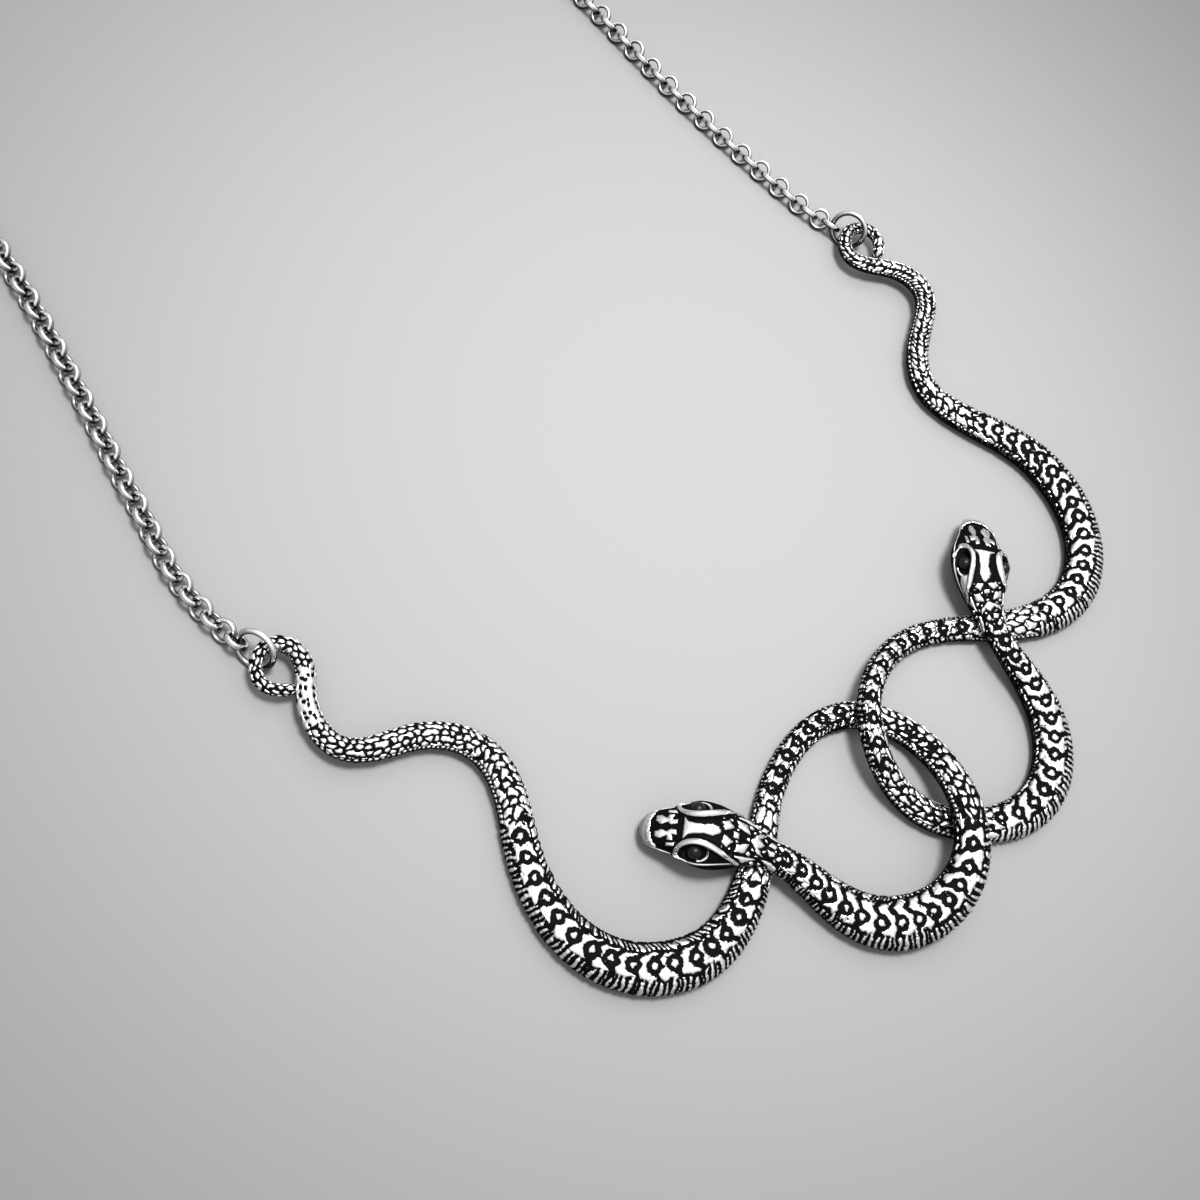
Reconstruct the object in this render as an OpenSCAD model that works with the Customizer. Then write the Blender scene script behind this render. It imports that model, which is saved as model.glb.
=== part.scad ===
/* [Snakes] */
// Number of facets round a snake's body
body_sides = 14; // [10:2:18]
// Distance between the rings of facets along a body
ring_step = 0.85; // [0.7:0.05:1.5]
// Height gained for each millimetre of body width
height_rate = 0.46; // [0.35:0.01:0.6]
// Height that even the thinnest body has
height_base = 0.75; // [0.5:0.05:1]
// Depth of the scale relief as a share of the body width
scale_depth = 0.035; // [0:0.005:0.05]
// Length of the head from nose to neck
head_length = 13; // [12:0.5:14]

/* [Chain] */
// Outer diameter of a chain link
link_od = 2.48; // [2.46:0.01:2.5]
// Thickness of a link's wire across the ring
link_thick = 0.4; // [0.38:0.01:0.41]
// Width of a link's wire along the ring's axis
link_wide = 0.62; // [0.58:0.02:0.64]
// Distance from one link to the next
link_pitch = 1.5; // [1.49:0.01:1.52]
// Links on each side, an odd number
links_per_side = 115; // [109:2:121]

/* [Rings and clasp] */
// Outer diameter of the jump ring through a tail
jump_od = 4.5; // [4.45:0.05:4.6]
// Wire diameter of the jump ring through a tail
jump_wire = 0.6; // [0.55:0.05:0.6]
// Length of the clasp
clasp_long = 9; // [8:0.5:11]
// Width of the clasp and diameter of the ring beside it
clasp_wide = 3.2; // [3.1:0.1:3.3]
// Wire diameter of the clasp
clasp_wire = 0.7; // [0.6:0.05:0.75]

/* [Hidden] */

// Rows follow the bodies from the tip of the tail to the nose.
// left x, left y, left lift, left width, right x, right y, right lift, right width
SECTIONS = [
    [-43.3, 10.9, 1.1, 1.35,    42.1, 11, 1.1, 1.5],
    [-45, 12.1, 1.1, 1.4,       44, 12.2, 1.1, 1.55],
    [-45.5, 13.6, 1.1, 1.45,    44.4, 13.8, 1.1, 1.55],
    [-44.9, 15, 1.1, 1.5,       43.7, 15, 1.1, 1.6],
    [-43.5, 15.8, 1.1, 1.6,     42.2, 15.55, 1.1, 1.65],
    [-42, 15.5, 1.1, 1.8,       40.7, 15.1, 1.1, 1.75],
    [-41.2, 14.1, 1.1, 1.95,    39.5, 13.7, 1.1, 1.85],
    [-41.4, 12.3, 1.1, 2.1,     39.6, 12.1, 1.1, 2],
    [-42.7, 10.5, 1.1, 2.2,     40.8, 10.5, 1.1, 2.15],
    [-43.8, 8.6, 0.9, 2.25,     42.6, 9, 0.9, 2.35],
    [-44.3, 6.4, 0.9, 2.35,     43.8, 6.8, 0.9, 2.6],
    [-43.7, 3.9, 0.9, 2.5,      43.6, 4.2, 0.9, 2.8],
    [-41.3, 2.1, 0.8, 2.7,      41.4, 2.1, 0.8, 2.65],
    [-37.8, 0.8, 0.6, 2.9,      38, 0.1, 0.6, 2.85],
    [-34.9, -1.6, 0.4, 3,       35.4, -2.5, 0.4, 3],
    [-33.5, -5.1, 0.2, 3.3,     34.5, -5.9, 0.2, 3.3],
    [-34.5, -9.2, 0.1, 3.55,    35.9, -10.3, 0.1, 3.8],
    [-36.7, -13.1, 0, 3.75,     38, -14.7, 0, 4.2],
    [-38.4, -17.4, 0, 4.1,      39, -19, 0, 4.6],
    [-38.9, -22, 0, 4.5,        38.6, -23.4, 0, 4.85],
    [-37.7, -26.3, 0, 4.85,     36.7, -27.7, 0, 4.8],
    [-34.8, -29.7, 0, 5.1,      33.3, -30.9, 0, 4.75],
    [-30.8, -31.7, 0, 4.95,     29.1, -32.3, 0, 4.6],
    [-26.6, -31.8, 0, 4.4,      24.6, -31.7, 0, 4.2],
    [-22.5, -30.4, 0, 4,        20.4, -29.7, 0, 3.75],
    [-18.4, -28.1, 0, 3.4,      16.5, -27.1, 0, 3.1],
    [-14.6, -25.6, 0, 2.95,     12.7, -24.7, 0, 2.85],
    [-10.4, -24, 0, 2.85,       8.3, -23.4, 0.3, 2.8],
    [-6.2, -23.5, 0, 2.85,      3.6, -23.7, 1.6, 2.8],
    [-1.9, -24.8, 0, 3.1,       -0.6, -25.6, 2.5, 2.75],
    [1.1, -28.2, 0, 3.3,        -3.2, -29.3, 2.2, 2.9],
    [2.1, -32.3, 0.6, 3.4,      -3.7, -33.6, 0.7, 3.2],
    [1.1, -36.6, 2, 3.55,       -2.5, -37.9, 0, 3.45],
    [-1.2, -40.6, 2.7, 3.85,    0.5, -41.5, 0, 3.8],
    [-4.6, -43.5, 2.1, 4.5,     4.5, -44, 0, 4.3],
    [-8.9, -44.4, 0.8, 5.1,     8.8, -44.4, 0, 4.7],
    [-13.2, -42.8, 0.1, 5.6,    12.7, -42.8, 0, 4.75],
    [-16, -39.6, 0.1, 5.15,     15.7, -39.5, 0.1, 4.5],
    [-17.4, -35.3, 0.6, 4.2,    17, -35.2, 0.6, 3.9],
    [-18.6, -30.8, 1.6, 3.3,    17.2, -30.7, 1.6, 3.1],
    [-20.9, -26.8, 1.9, 3.3,    18.9, -26.2, 1.9, 3.1],
    [-23.8, -23.2, 1.7, 3.3,    21.75, -22.7, 1.7, 3.3],
    [-27, -19.3, 0.9, 3.3,      26.55, -19, 0.9, 3.3]
];

// Rows go back from the nose: distance from the nose, width, share of the body's height
HEAD = [
    [0, 0.5, 0.45],
    [0.3, 2.0, 0.62],
    [1.0, 3.2, 0.76],
    [2.2, 4.1, 0.86],
    [3.6, 4.7, 0.92],
    [5.0, 6.0, 0.92],
    [6.3, 6.8, 0.92],
    [7.8, 6.5, 0.92],
    [9.5, 5.3, 0.95],
    [11.2, 4.0, 1],
    [13.0, 3.2, 1],
    [15.0, 3.15, 1]
];

// Rows follow the chain from a tail's jump ring to where the loop leaves the pendant behind.
// x, y
CHAIN_LEFT = [
    [-44.15, 16.1], [-44.65, 18.6], [-45.05, 21.6], [-45.05, 25.4], [-44.5, 29.2], [-43.5, 33.2],
    [-42.7, 37.3], [-41.7, 41.4], [-40.7, 45.8], [-39.7, 50.4], [-38.7, 55.0],
    [-37.8, 60.0], [-37.1, 65.0]
];
CHAIN_RIGHT = [
    [41.75, 15.65], [41.25, 17.6], [40.5, 19.8], [40.0, 22.6], [39.6, 25.6], [39.2, 29.0],
    [38.8, 33.0], [38.5, 37.2], [38.2, 41.4], [38.1, 45.8], [38.1, 50.4], [38.1, 55.0],
    [38.0, 60.0], [37.9, 65.0]
];
// The two sides run on to a half circle round the back
row_gap = 5;
back_turn = 7.5;
back_x = 0.4;
back_radius = 37.4;
back_near = 134.7;
// The middle of the necklace's footprint lies at the origin
footprint = [-0.47, 63.3];

flat_share = 0.72;
height_share = 1 + flat_share;
fine_step = 1 / 8;
tangent_reach = 0.4;
up = [0, 0, 1];

link_mid = (link_od - link_thick) / 2;
link_round = link_thick / 2;
link_flat = link_wide - link_thick;
link_lean = 45;
link_z = link_mid * sin(link_lean) + link_flat / 2 * cos(link_lean) + link_round;
// A jump ring stands nearly upright in its tail ring and lifts the links that hang on it
jump_lean = 62;
jump_aside = 0.15;
LIFTED = [0.17, 0.06];
jump_mid = (jump_od - jump_wire) / 2;
jump_z = jump_mid * sin(jump_lean) + jump_wire / 2;
jump_to_link = 2;

clasp_mid = (clasp_wide - clasp_wire) / 2;
clasp_half = clasp_long / 2 - clasp_wide / 2;
clasp_z = clasp_mid * sin(link_lean) + clasp_wire / 2;
clasp_ring_wire = 0.5;
clasp_ring_mid = (clasp_wide - clasp_ring_wire) / 2;
clasp_ring_z = clasp_ring_mid * sin(link_lean) + clasp_ring_wire / 2;
clasp_to_link = 1.38;
clasp_to_ring = 1.7;
ring_to_link = 1.55;
side_length = jump_to_link + (links_per_side - 1) * link_pitch;
loop_needed = 2 * side_length + clasp_to_link + 2 * clasp_half + clasp_to_ring + ring_to_link;

function unit(v) = v / norm(v);

// Smooth curve through rows of numbers: a cubic spline with its control rows led outwards
function row_at(rows, i) =
    i < 0 ? 2 * rows[0] - rows[1]
    : i >= len(rows) ? 2 * rows[len(rows) - 1] - rows[len(rows) - 2]
    : rows[i];
function led(rows) = [
    for (i = [0:len(rows) - 1])
        rows[i] - (row_at(rows, i - 1) - 2 * rows[i] + row_at(rows, i + 1)) / 6
];
function blend(a, b, c, d, t) =
    (a * pow(1 - t, 3) + b * (3 * pow(t, 3) - 6 * t * t + 4)
     + c * (1 + 3 * t + 3 * t * t - 3 * pow(t, 3)) + d * pow(t, 3)) / 6;
function curve(rows) =
    let (q = led(rows))
    [for (u = [0:fine_step:len(rows) - 1 - fine_step / 2])
        let (i = floor(u))
        blend(row_at(q, i - 1), row_at(q, i), row_at(q, i + 1), row_at(q, i + 2), u - i),
     rows[len(rows) - 1]];

// Distance along a curve, counted in its first two or three columns
function place(row) = [for (i = [0:min(2, len(row) - 1)]) row[i]];
function distances(points) = [
    for (i = 0, s = 0; i < len(points);
         s = s + (i + 1 < len(points) ? norm(place(points[i + 1]) - place(points[i])) : 0),
         i = i + 1) s
];
function columns(points) =
    let (s = distances(points))
    [for (c = [0:len(points[0]) - 1]) [for (i = [0:len(points) - 1]) [s[i], points[i][c]]]];
function at(cols, s) = [for (c = cols) lookup(s, c)];
function length_of(cols) = cols[0][len(cols[0]) - 1][0];

function grounded(row) = [row[0], row[1], max(0, row[2]), row[3]];
function body_curve(first) =
    columns([for (p = curve([for (r = SECTIONS) [for (c = [first:first + 3]) r[c]]])) grounded(p)]);
LEFT = body_curve(0);
RIGHT = body_curve(4);

// Width and height of a body at a distance along it, with the head's own outline at its end
function from_nose(cols, s) = max(0, length_of(cols) - s);
function width_at(cols, s) =
    let (d = from_nose(cols, s))
    d < head_length ? lookup(d, [for (r = HEAD) [r[0], r[1]]]) : lookup(s, cols[3]);
function height_at(cols, s) =
    let (d = from_nose(cols, s))
    (height_rate * width_at(cols, s) + height_base)
        * (d < head_length ? lookup(d, [for (r = HEAD) [r[0], r[2]]]) : 1);

// A point on the body's skin: s along it, angle round it from its left flank over the top,
// grow outwards from the skin, and size as a share of the full section
function skin(cols, s, angle, grow = 0, size = 1) =
    let (
        here = place(at(cols, s)),
        ahead = unit(place(at(cols, s + tangent_reach)) - place(at(cols, s - tangent_reach))),
        aside = unit(cross(up, ahead)),
        over = cross(ahead, aside),
        w = width_at(cols, s) / 2,
        h = height_at(cols, s) / height_share,
        a = (w * size + grow) * cos(angle),
        b = max(flat_share * h * (1 - size), flat_share * h + (h * size + grow) * sin(angle))
    )
    here + aside * a + over * b;

// Relief: scales alternate over the top and ribs alternate on the flanks
function sunk(cols, s, i, j) =
    let (
        angle = 360 * (j + 0.5) / body_sides,
        on_top = angle > 30 && angle < 150,
        on_belly = angle > 200 && angle < 340
    )
    from_nose(cols, s) < head_length ? 0
    : on_belly ? 0
    : (on_top ? (i + j) % 2 : i % 2) * -scale_depth * width_at(cols, s);

// One closed length of body from s0 to s1, drawn in at its ends by the shares given
module body_length(cols, s0, s1, start_size = 1, end_size = 1) {
    rings = ceil((s1 - s0) / ring_step);
    points = [
        for (i = [0:rings])
            let (
                s = s0 + (s1 - s0) * i / rings,
                size = 1 - (1 - start_size) * max(0, 1 - i / 2)
                         - (1 - end_size) * max(0, 1 - (rings - i) / 2)
            )
            for (j = [0:body_sides - 1])
                skin(cols, s, 360 * (j + 0.5) / body_sides, sunk(cols, s, i, j), size)
    ];
    walls = [
        for (i = [0:rings - 1])
            for (j = [0:body_sides - 1])
                let (
                    k = (j + 1) % body_sides,
                    a = i * body_sides + j,
                    b = i * body_sides + k,
                    c = a + body_sides,
                    d = b + body_sides
                )
                each (i + j) % 2 ? [[a, c, b], [b, c, d]] : [[a, d, b], [a, c, d]]
    ];
    first = [for (j = [0:body_sides - 1]) j];
    last = [for (j = [body_sides - 1:-1:0]) rings * body_sides + j];
    polyhedron(points, concat(walls, [first, last]));
}

// A raised ridge over the head: rows are distance from the nose, angle, bead radius
module ridge(cols, rows) {
    tip = length_of(cols);
    for (i = [0:len(rows) - 2])
        hull() {
            translate(skin(cols, tip - rows[i][0], rows[i][1])) sphere(rows[i][2], $fn = 8);
            translate(skin(cols, tip - rows[i + 1][0], rows[i + 1][1]))
                sphere(rows[i + 1][2], $fn = 8);
        }
}

module head_relief(cols) {
    tip = length_of(cols);
    eye_from_nose = 5.6;
    for (turn = [-1, 1]) {
        // Brow, from the front of the eye back along the crown
        ridge(cols, [[4.0, 90 + turn * 38, 0.25], [6.0, 90 + turn * 34, 0.4],
                     [8.4, 90 + turn * 36, 0.35], [10.6, 90 + turn * 48, 0.2]]);
        // Lower rim of the eye, running back to a point
        ridge(cols, [[4.2, 90 + turn * 66, 0.25], [5.8, 90 + turn * 84, 0.3],
                     [8.2, 90 + turn * 70, 0.2]]);
        // Eye
        translate(skin(cols, tip - eye_from_nose, 90 + turn * 60, -0.25)) sphere(0.7, $fn = 10);
        // Nostril plate
        ridge(cols, [[1.4, 90 + turn * 30, 0.25], [2.4, 90 + turn * 36, 0.25]]);
    }
    // Long plate on the brow and two behind it
    ridge(cols, [[4.2, 90, 0.45], [7.4, 90, 0.4]]);
    ridge(cols, [[8.6, 76, 0.25], [10.2, 84, 0.25]]);
    ridge(cols, [[8.6, 104, 0.25], [10.2, 96, 0.25]]);
    // Rim of the snout
    ridge(cols, [[0.9, 55, 0.22], [0.5, 90, 0.28], [0.9, 125, 0.22]]);
}

// The tail's tip closes its ring against the body, and the neck lies fused over the body
module snake(cols) {
    curl = 6.5;
    neck = length_of(cols) - 18.8;
    union() {
        body_length(cols, 0, curl, end_size = 0.85);
        body_length(cols, curl - 0.3, neck);
        body_length(cols, neck - 1.2, length_of(cols), start_size = 0.85);
        head_relief(cols);
    }
}

module centred() {
    translate([-footprint[0], -footprint[1], 0]) children();
}

module snake_left() {
    color("silver") centred() snake(LEFT);
}

module snake_right() {
    color("silver") centred() snake(RIGHT);
}

module round_ring(mid, wire) {
    rotate_extrude($fn = 32) translate([mid, 0]) circle(d = wire, $fn = 16);
}

module link() {
    rotate_extrude($fn = 32)
        translate([link_mid, 0]) {
            translate([-link_round, -link_flat / 2]) square([link_thick, link_flat]);
            translate([0, link_flat / 2]) circle(link_round, $fn = 16);
            translate([0, -link_flat / 2]) circle(link_round, $fn = 16);
        }
}

// The loop that the chain lies in, from the left tail round the back to the right tail
function reversed(rows) = [for (i = [len(rows) - 1:-1:0]) rows[i]];
function beyond(rows, back) =
    [for (y = [rows[len(rows) - 1][1] + row_gap:row_gap:back - row_gap / 2]) y];
function loop_with(back) = columns(curve(concat(
    CHAIN_LEFT,
    [for (y = beyond(CHAIN_LEFT, back)) [back_x - back_radius, y]],
    [for (a = [180:-back_turn:0]) [back_x, back] + back_radius * [cos(a), sin(a)]],
    reversed([for (y = beyond(CHAIN_RIGHT, back)) [back_x + back_radius, y]]),
    reversed(CHAIN_RIGHT)
)));
// The straight stretches take up what the length of the chain needs
back_y = back_near + (loop_needed - length_of(loop_with(back_near))) / 2;
LOOP = loop_with(back_y);
loop_length = length_of(LOOP);

// Puts its children at a distance along the loop, with X along it
module on_loop(s, z) {
    here = at(LOOP, s);
    ahead = at(LOOP, s + tangent_reach) - at(LOOP, s - tangent_reach);
    translate([here[0], here[1], z])
        rotate([0, 0, atan2(ahead[1], ahead[0])])
            children();
}

// Links lean to either side by turns
module chain(start, step, first_lean) {
    for (i = [0:links_per_side - 1])
        on_loop(start + i * step, link_z + (i < len(LIFTED) ? LIFTED[i] : 0))
            rotate([i % 2 ? -first_lean : first_lean, 0, 0])
                link();
}

module jump_ring(start, side) {
    on_loop(start, jump_z)
        translate([0, side * jump_aside, 0])
            rotate([side * jump_lean, 0, 0])
                round_ring(jump_mid, jump_wire);
}

module chain_left() {
    color("lightgray") centred() chain(jump_to_link, link_pitch, link_lean);
}

module chain_right() {
    color("lightgray") centred() chain(loop_length - jump_to_link, -link_pitch, -link_lean);
}

module jump_ring_left() {
    color("lightgray") centred() jump_ring(0, -1);
}

module jump_ring_right() {
    color("lightgray") centred() jump_ring(loop_length, 1);
}

// A closed long ring, its two ends half rings
module clasp() {
    color("lightgray")
        centred()
            on_loop(side_length + clasp_to_link + clasp_half, clasp_z)
                rotate([-link_lean, 0, 0])
                    for (turn = [-1, 1]) {
                        translate([turn * clasp_half, 0, 0])
                            rotate([0, 0, -turn * 90])
                                rotate_extrude(angle = 180, $fn = 32)
                                    translate([clasp_mid, 0]) circle(d = clasp_wire, $fn = 16);
                        translate([0, turn * clasp_mid, 0])
                            rotate([0, 90, 0])
                                cylinder(2 * clasp_half, d = clasp_wire, center = true, $fn = 16);
                    }
}

module clasp_ring() {
    color("lightgray")
        centred()
            on_loop(loop_length - side_length - ring_to_link, clasp_ring_z)
                rotate([link_lean, 0, 0])
                    round_ring(clasp_ring_mid, clasp_ring_wire);
}

snake_left();
snake_right();
jump_ring_left();
jump_ring_right();
chain_left();
chain_right();
clasp();
clasp_ring();
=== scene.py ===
import math

import bpy
import numpy as np
from mathutils import Matrix


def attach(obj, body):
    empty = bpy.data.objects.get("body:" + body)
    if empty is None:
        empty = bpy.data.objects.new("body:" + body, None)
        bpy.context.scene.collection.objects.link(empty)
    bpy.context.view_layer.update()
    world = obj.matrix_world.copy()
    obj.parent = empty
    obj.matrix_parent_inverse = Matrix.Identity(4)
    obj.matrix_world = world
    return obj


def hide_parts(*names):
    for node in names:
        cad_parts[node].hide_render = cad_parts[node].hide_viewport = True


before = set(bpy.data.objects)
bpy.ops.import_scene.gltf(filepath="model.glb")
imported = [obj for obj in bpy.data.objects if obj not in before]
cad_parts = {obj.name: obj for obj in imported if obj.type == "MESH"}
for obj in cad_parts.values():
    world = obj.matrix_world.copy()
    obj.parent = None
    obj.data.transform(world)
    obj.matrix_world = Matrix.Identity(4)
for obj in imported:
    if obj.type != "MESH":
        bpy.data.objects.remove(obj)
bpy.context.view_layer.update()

# Snakes' bodies
# Two snakes cast in silver, each one piece from the ring of its tail to its nose. The whole
# skin is a raised scale pattern: the hollows are blackened with oxide and the tops of the
# scales are polished bright again.
MM = 0.001
# one row for each station from the tip of the tail to the nose, in mm: x, y, lift off the table
# and width of the left snake, then the same of the right one
SECTIONS = np.array([
    [-43.3, 10.9, 1.1, 1.35, 42.1, 11, 1.1, 1.5],
    [-45, 12.1, 1.1, 1.4, 44, 12.2, 1.1, 1.55],
    [-45.5, 13.6, 1.1, 1.45, 44.4, 13.8, 1.1, 1.55],
    [-44.9, 15, 1.1, 1.5, 43.7, 15, 1.1, 1.6],
    [-43.5, 15.8, 1.1, 1.6, 42.2, 15.55, 1.1, 1.65],
    [-42, 15.5, 1.1, 1.8, 40.7, 15.1, 1.1, 1.75],
    [-41.2, 14.1, 1.1, 1.95, 39.5, 13.7, 1.1, 1.85],
    [-41.4, 12.3, 1.1, 2.1, 39.6, 12.1, 1.1, 2],
    [-42.7, 10.5, 1.1, 2.2, 40.8, 10.5, 1.1, 2.15],
    [-43.8, 8.6, 0.9, 2.25, 42.6, 9, 0.9, 2.35],
    [-44.3, 6.4, 0.9, 2.35, 43.8, 6.8, 0.9, 2.6],
    [-43.7, 3.9, 0.9, 2.5, 43.6, 4.2, 0.9, 2.8],
    [-41.3, 2.1, 0.8, 2.7, 41.4, 2.1, 0.8, 2.65],
    [-37.8, 0.8, 0.6, 2.9, 38, 0.1, 0.6, 2.85],
    [-34.9, -1.6, 0.4, 3, 35.4, -2.5, 0.4, 3],
    [-33.5, -5.1, 0.2, 3.3, 34.5, -5.9, 0.2, 3.3],
    [-34.5, -9.2, 0.1, 3.55, 35.9, -10.3, 0.1, 3.8],
    [-36.7, -13.1, 0, 3.75, 38, -14.7, 0, 4.2],
    [-38.4, -17.4, 0, 4.1, 39, -19, 0, 4.6],
    [-38.9, -22, 0, 4.5, 38.6, -23.4, 0, 4.85],
    [-37.7, -26.3, 0, 4.85, 36.7, -27.7, 0, 4.8],
    [-34.8, -29.7, 0, 5.1, 33.3, -30.9, 0, 4.75],
    [-30.8, -31.7, 0, 4.95, 29.1, -32.3, 0, 4.6],
    [-26.6, -31.8, 0, 4.4, 24.6, -31.7, 0, 4.2],
    [-22.5, -30.4, 0, 4, 20.4, -29.7, 0, 3.75],
    [-18.4, -28.1, 0, 3.4, 16.5, -27.1, 0, 3.1],
    [-14.6, -25.6, 0, 2.95, 12.7, -24.7, 0, 2.85],
    [-10.4, -24, 0, 2.85, 8.3, -23.4, 0.3, 2.8],
    [-6.2, -23.5, 0, 2.85, 3.6, -23.7, 1.6, 2.8],
    [-1.9, -24.8, 0, 3.1, -0.6, -25.6, 2.5, 2.75],
    [1.1, -28.2, 0, 3.3, -3.2, -29.3, 2.2, 2.9],
    [2.1, -32.3, 0.6, 3.4, -3.7, -33.6, 0.7, 3.2],
    [1.1, -36.6, 2, 3.55, -2.5, -37.9, 0, 3.45],
    [-1.2, -40.6, 2.7, 3.85, 0.5, -41.5, 0, 3.8],
    [-4.6, -43.5, 2.1, 4.5, 4.5, -44, 0, 4.3],
    [-8.9, -44.4, 0.8, 5.1, 8.8, -44.4, 0, 4.7],
    [-13.2, -42.8, 0.1, 5.6, 12.7, -42.8, 0, 4.75],
    [-16, -39.6, 0.1, 5.15, 15.7, -39.5, 0.1, 4.5],
    [-17.4, -35.3, 0.6, 4.2, 17, -35.2, 0.6, 3.9],
    [-18.6, -30.8, 1.6, 3.3, 17.2, -30.7, 1.6, 3.1],
    [-20.9, -26.8, 1.9, 3.3, 18.9, -26.2, 1.9, 3.1],
    [-23.8, -23.2, 1.7, 3.3, 21.75, -22.7, 1.7, 3.3],
    [-27, -19.3, 0.9, 3.3, 26.55, -19, 0.9, 3.3],
])
# the middle of the necklace as it lies, which is the origin of the frame
FOOTPRINT = np.array([-0.47, 63.3, 0])
# distance from the nose, width, share of the body's height
HEAD = np.array([
    [0, 0.5, 0.45], [0.3, 2.2, 0.62], [1.0, 3.5, 0.76], [2.2, 4.4, 0.86], [3.6, 5.2, 0.92],
    [5.0, 6.6, 0.92], [6.3, 7.0, 0.92], [7.8, 6.5, 0.92], [9.5, 5.3, 0.95], [11.2, 4.0, 1],
    [13.0, 3.2, 1], [15.0, 3.15, 1],
])
# a body's height grows with its width, and its oval is cut off flat underneath
HEIGHT_RATE, HEIGHT_BASE, FLAT_SHARE = 0.46, 0.75, 0.72
HEAD_LENGTH = 13.0
# half the stretch over which a body's direction is taken
TURN_REACH = 0.4
QUARTER_TURN = 1.5708


def smooth_rows(rows, parts=40):
    """Points on a smooth curve through rows of numbers."""
    wide = np.vstack([2 * rows[0] - rows[1], rows, 2 * rows[-1] - rows[-2]])
    # points that lead the curve, so that it passes close by the rows
    led = rows - (wide[:-2] - 2 * rows + wide[2:]) / 6
    led = np.vstack([2 * led[0] - led[1], led, 2 * led[-1] - led[-2]])
    t = (np.arange(parts) / parts)[:, None]
    found = []
    for a, b, c, d in zip(led, led[1:], led[2:], led[3:]):
        found.append((a * (1 - t) ** 3 + b * (3 * t ** 3 - 6 * t * t + 4)
                      + c * (1 + 3 * t + 3 * t * t - 3 * t ** 3) + d * t ** 3) / 6)
    return np.vstack(found + [rows[-1:]])


def step_up(x, low, high):
    """0 below low and 1 above high, with a smooth slope between them."""
    t = np.clip((x - low) / (high - low), 0, 1)
    return t * t * (3 - 2 * t)


def soft_min(a, b, round_off=0.06):
    """The lower of two heights, with the corner where they meet rounded off."""
    h = np.clip(0.5 + (b - a) / (2 * round_off), 0, 1)
    return b * (1 - h) + a * h - round_off * h * (1 - h)


HEAD_LINE = smooth_rows(HEAD)


class Body:
    """One snake's line and sections, at any distance from the tip of its tail."""

    def __init__(self, first):
        line = smooth_rows(SECTIONS[:, first:first + 4])
        line[:, 2] = np.maximum(line[:, 2], 0)
        steps = np.linalg.norm(np.diff(line[:, :3], axis=0), axis=1)
        self.line, self.at = line, np.concatenate([[0], np.cumsum(steps)])
        self.length = self.at[-1]

    def point(self, s):
        """The middle of the underside at distances s, in mm."""
        s = np.clip(s, 0, self.length)
        return np.stack([np.interp(s, self.at, self.line[:, k]) for k in range(3)], axis=-1)

    def section(self, s):
        """Place, directions aside and up, half width and half height of the oval at s."""
        ahead = self.point(s + TURN_REACH) - self.point(s - TURN_REACH)
        ahead /= np.linalg.norm(ahead, axis=1)[:, None]
        aside = np.cross([0, 0, 1], ahead)
        aside /= np.linalg.norm(aside, axis=1)[:, None]
        over = np.cross(ahead, aside)
        nose = self.length - s
        width = np.interp(s, self.at, self.line[:, 3])
        on_head = nose < HEAD_LENGTH
        width = np.where(on_head, np.interp(nose, HEAD_LINE[:, 0], HEAD_LINE[:, 1]), width)
        share = np.where(on_head, np.interp(nose, HEAD_LINE[:, 0], HEAD_LINE[:, 2]), 1)
        height = (HEIGHT_RATE * width + HEIGHT_BASE) * share / (1 + FLAT_SHARE)
        return self.point(s), aside, over, width / 2, height

    def flank(self, s):
        """Distance over the skin from the spine to the side of the oval, in mm."""
        _, _, _, half, height = self.section(s)
        return (QUARTER_TURN * np.sqrt((half ** 2 + height ** 2) / 2))[:, None]

    def skin(self, s, angle, grow=0.0):
        """Points at distances s and angles round the body, in mm, grown outwards."""
        here, aside, over, half, height = self.section(s)
        c, q = np.cos(np.radians(angle)), np.sin(np.radians(angle))
        a = (half[:, None] + grow) * c
        b = np.maximum(0, FLAT_SHARE * height[:, None] + (height[:, None] + grow) * q)
        return (here[:, None] + aside[:, None] * a[..., None] + over[:, None] * b[..., None]
                - FOOTPRINT)

    def across(self, s, angle):
        """Distance over the skin from the spine, positive on the snake's left."""
        p = self.skin(s, angle)
        step = np.linalg.norm(np.diff(p, axis=1), axis=2)
        v = np.concatenate([np.zeros((len(s), 1)), np.cumsum(step, axis=1)], axis=1)
        spine = np.argmin(np.abs(angle - 90))
        return v[:, spine:spine + 1] - v


# rows of fixed draws, a row for each use, that make every scale a little uneven
LOT_ROWS, LOT_LENGTH = 48, 512
LOTS = np.random.default_rng(11).random((LOT_ROWS, LOT_LENGTH))


def drawn(row, i):
    """The draw of a row for the scale numbered i, from 0 to 1."""
    return LOTS[row, i % LOT_LENGTH]


def wander(x, y, size, seed):
    """A smooth ripple, about -1 to 1, with waves of about the size given."""
    draw = np.random.default_rng(seed)
    total = np.zeros(np.broadcast(x, y).shape)
    for _ in range(6):
        way = draw.uniform(0, 6.28)
        wave = draw.uniform(0.7, 1.5) / size
        start = draw.uniform(0, 6.28)
        total += np.sin(6.283 * wave * (x * math.cos(way) + y * math.sin(way)) + start)
    return total / 3


def rungs(x, lot, pitch, shift=0.0, jitter=0.3, left_out=0.0):
    """Distance along x to the nearest of a row of uneven grooves."""
    u = x / pitch + shift
    nearest = np.full(x.shape, 9.0)
    base = np.floor(u + 0.5).astype(int)
    for turn in (-1, 0, 1):
        i = base + turn
        gap = np.abs(u - i - jitter * (drawn(lot, i) - 0.5)) * pitch
        gap = np.where(drawn(lot + 1, i + 7) < left_out, 9.0, gap)
        nearest = np.minimum(nearest, gap)
    return nearest


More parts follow.
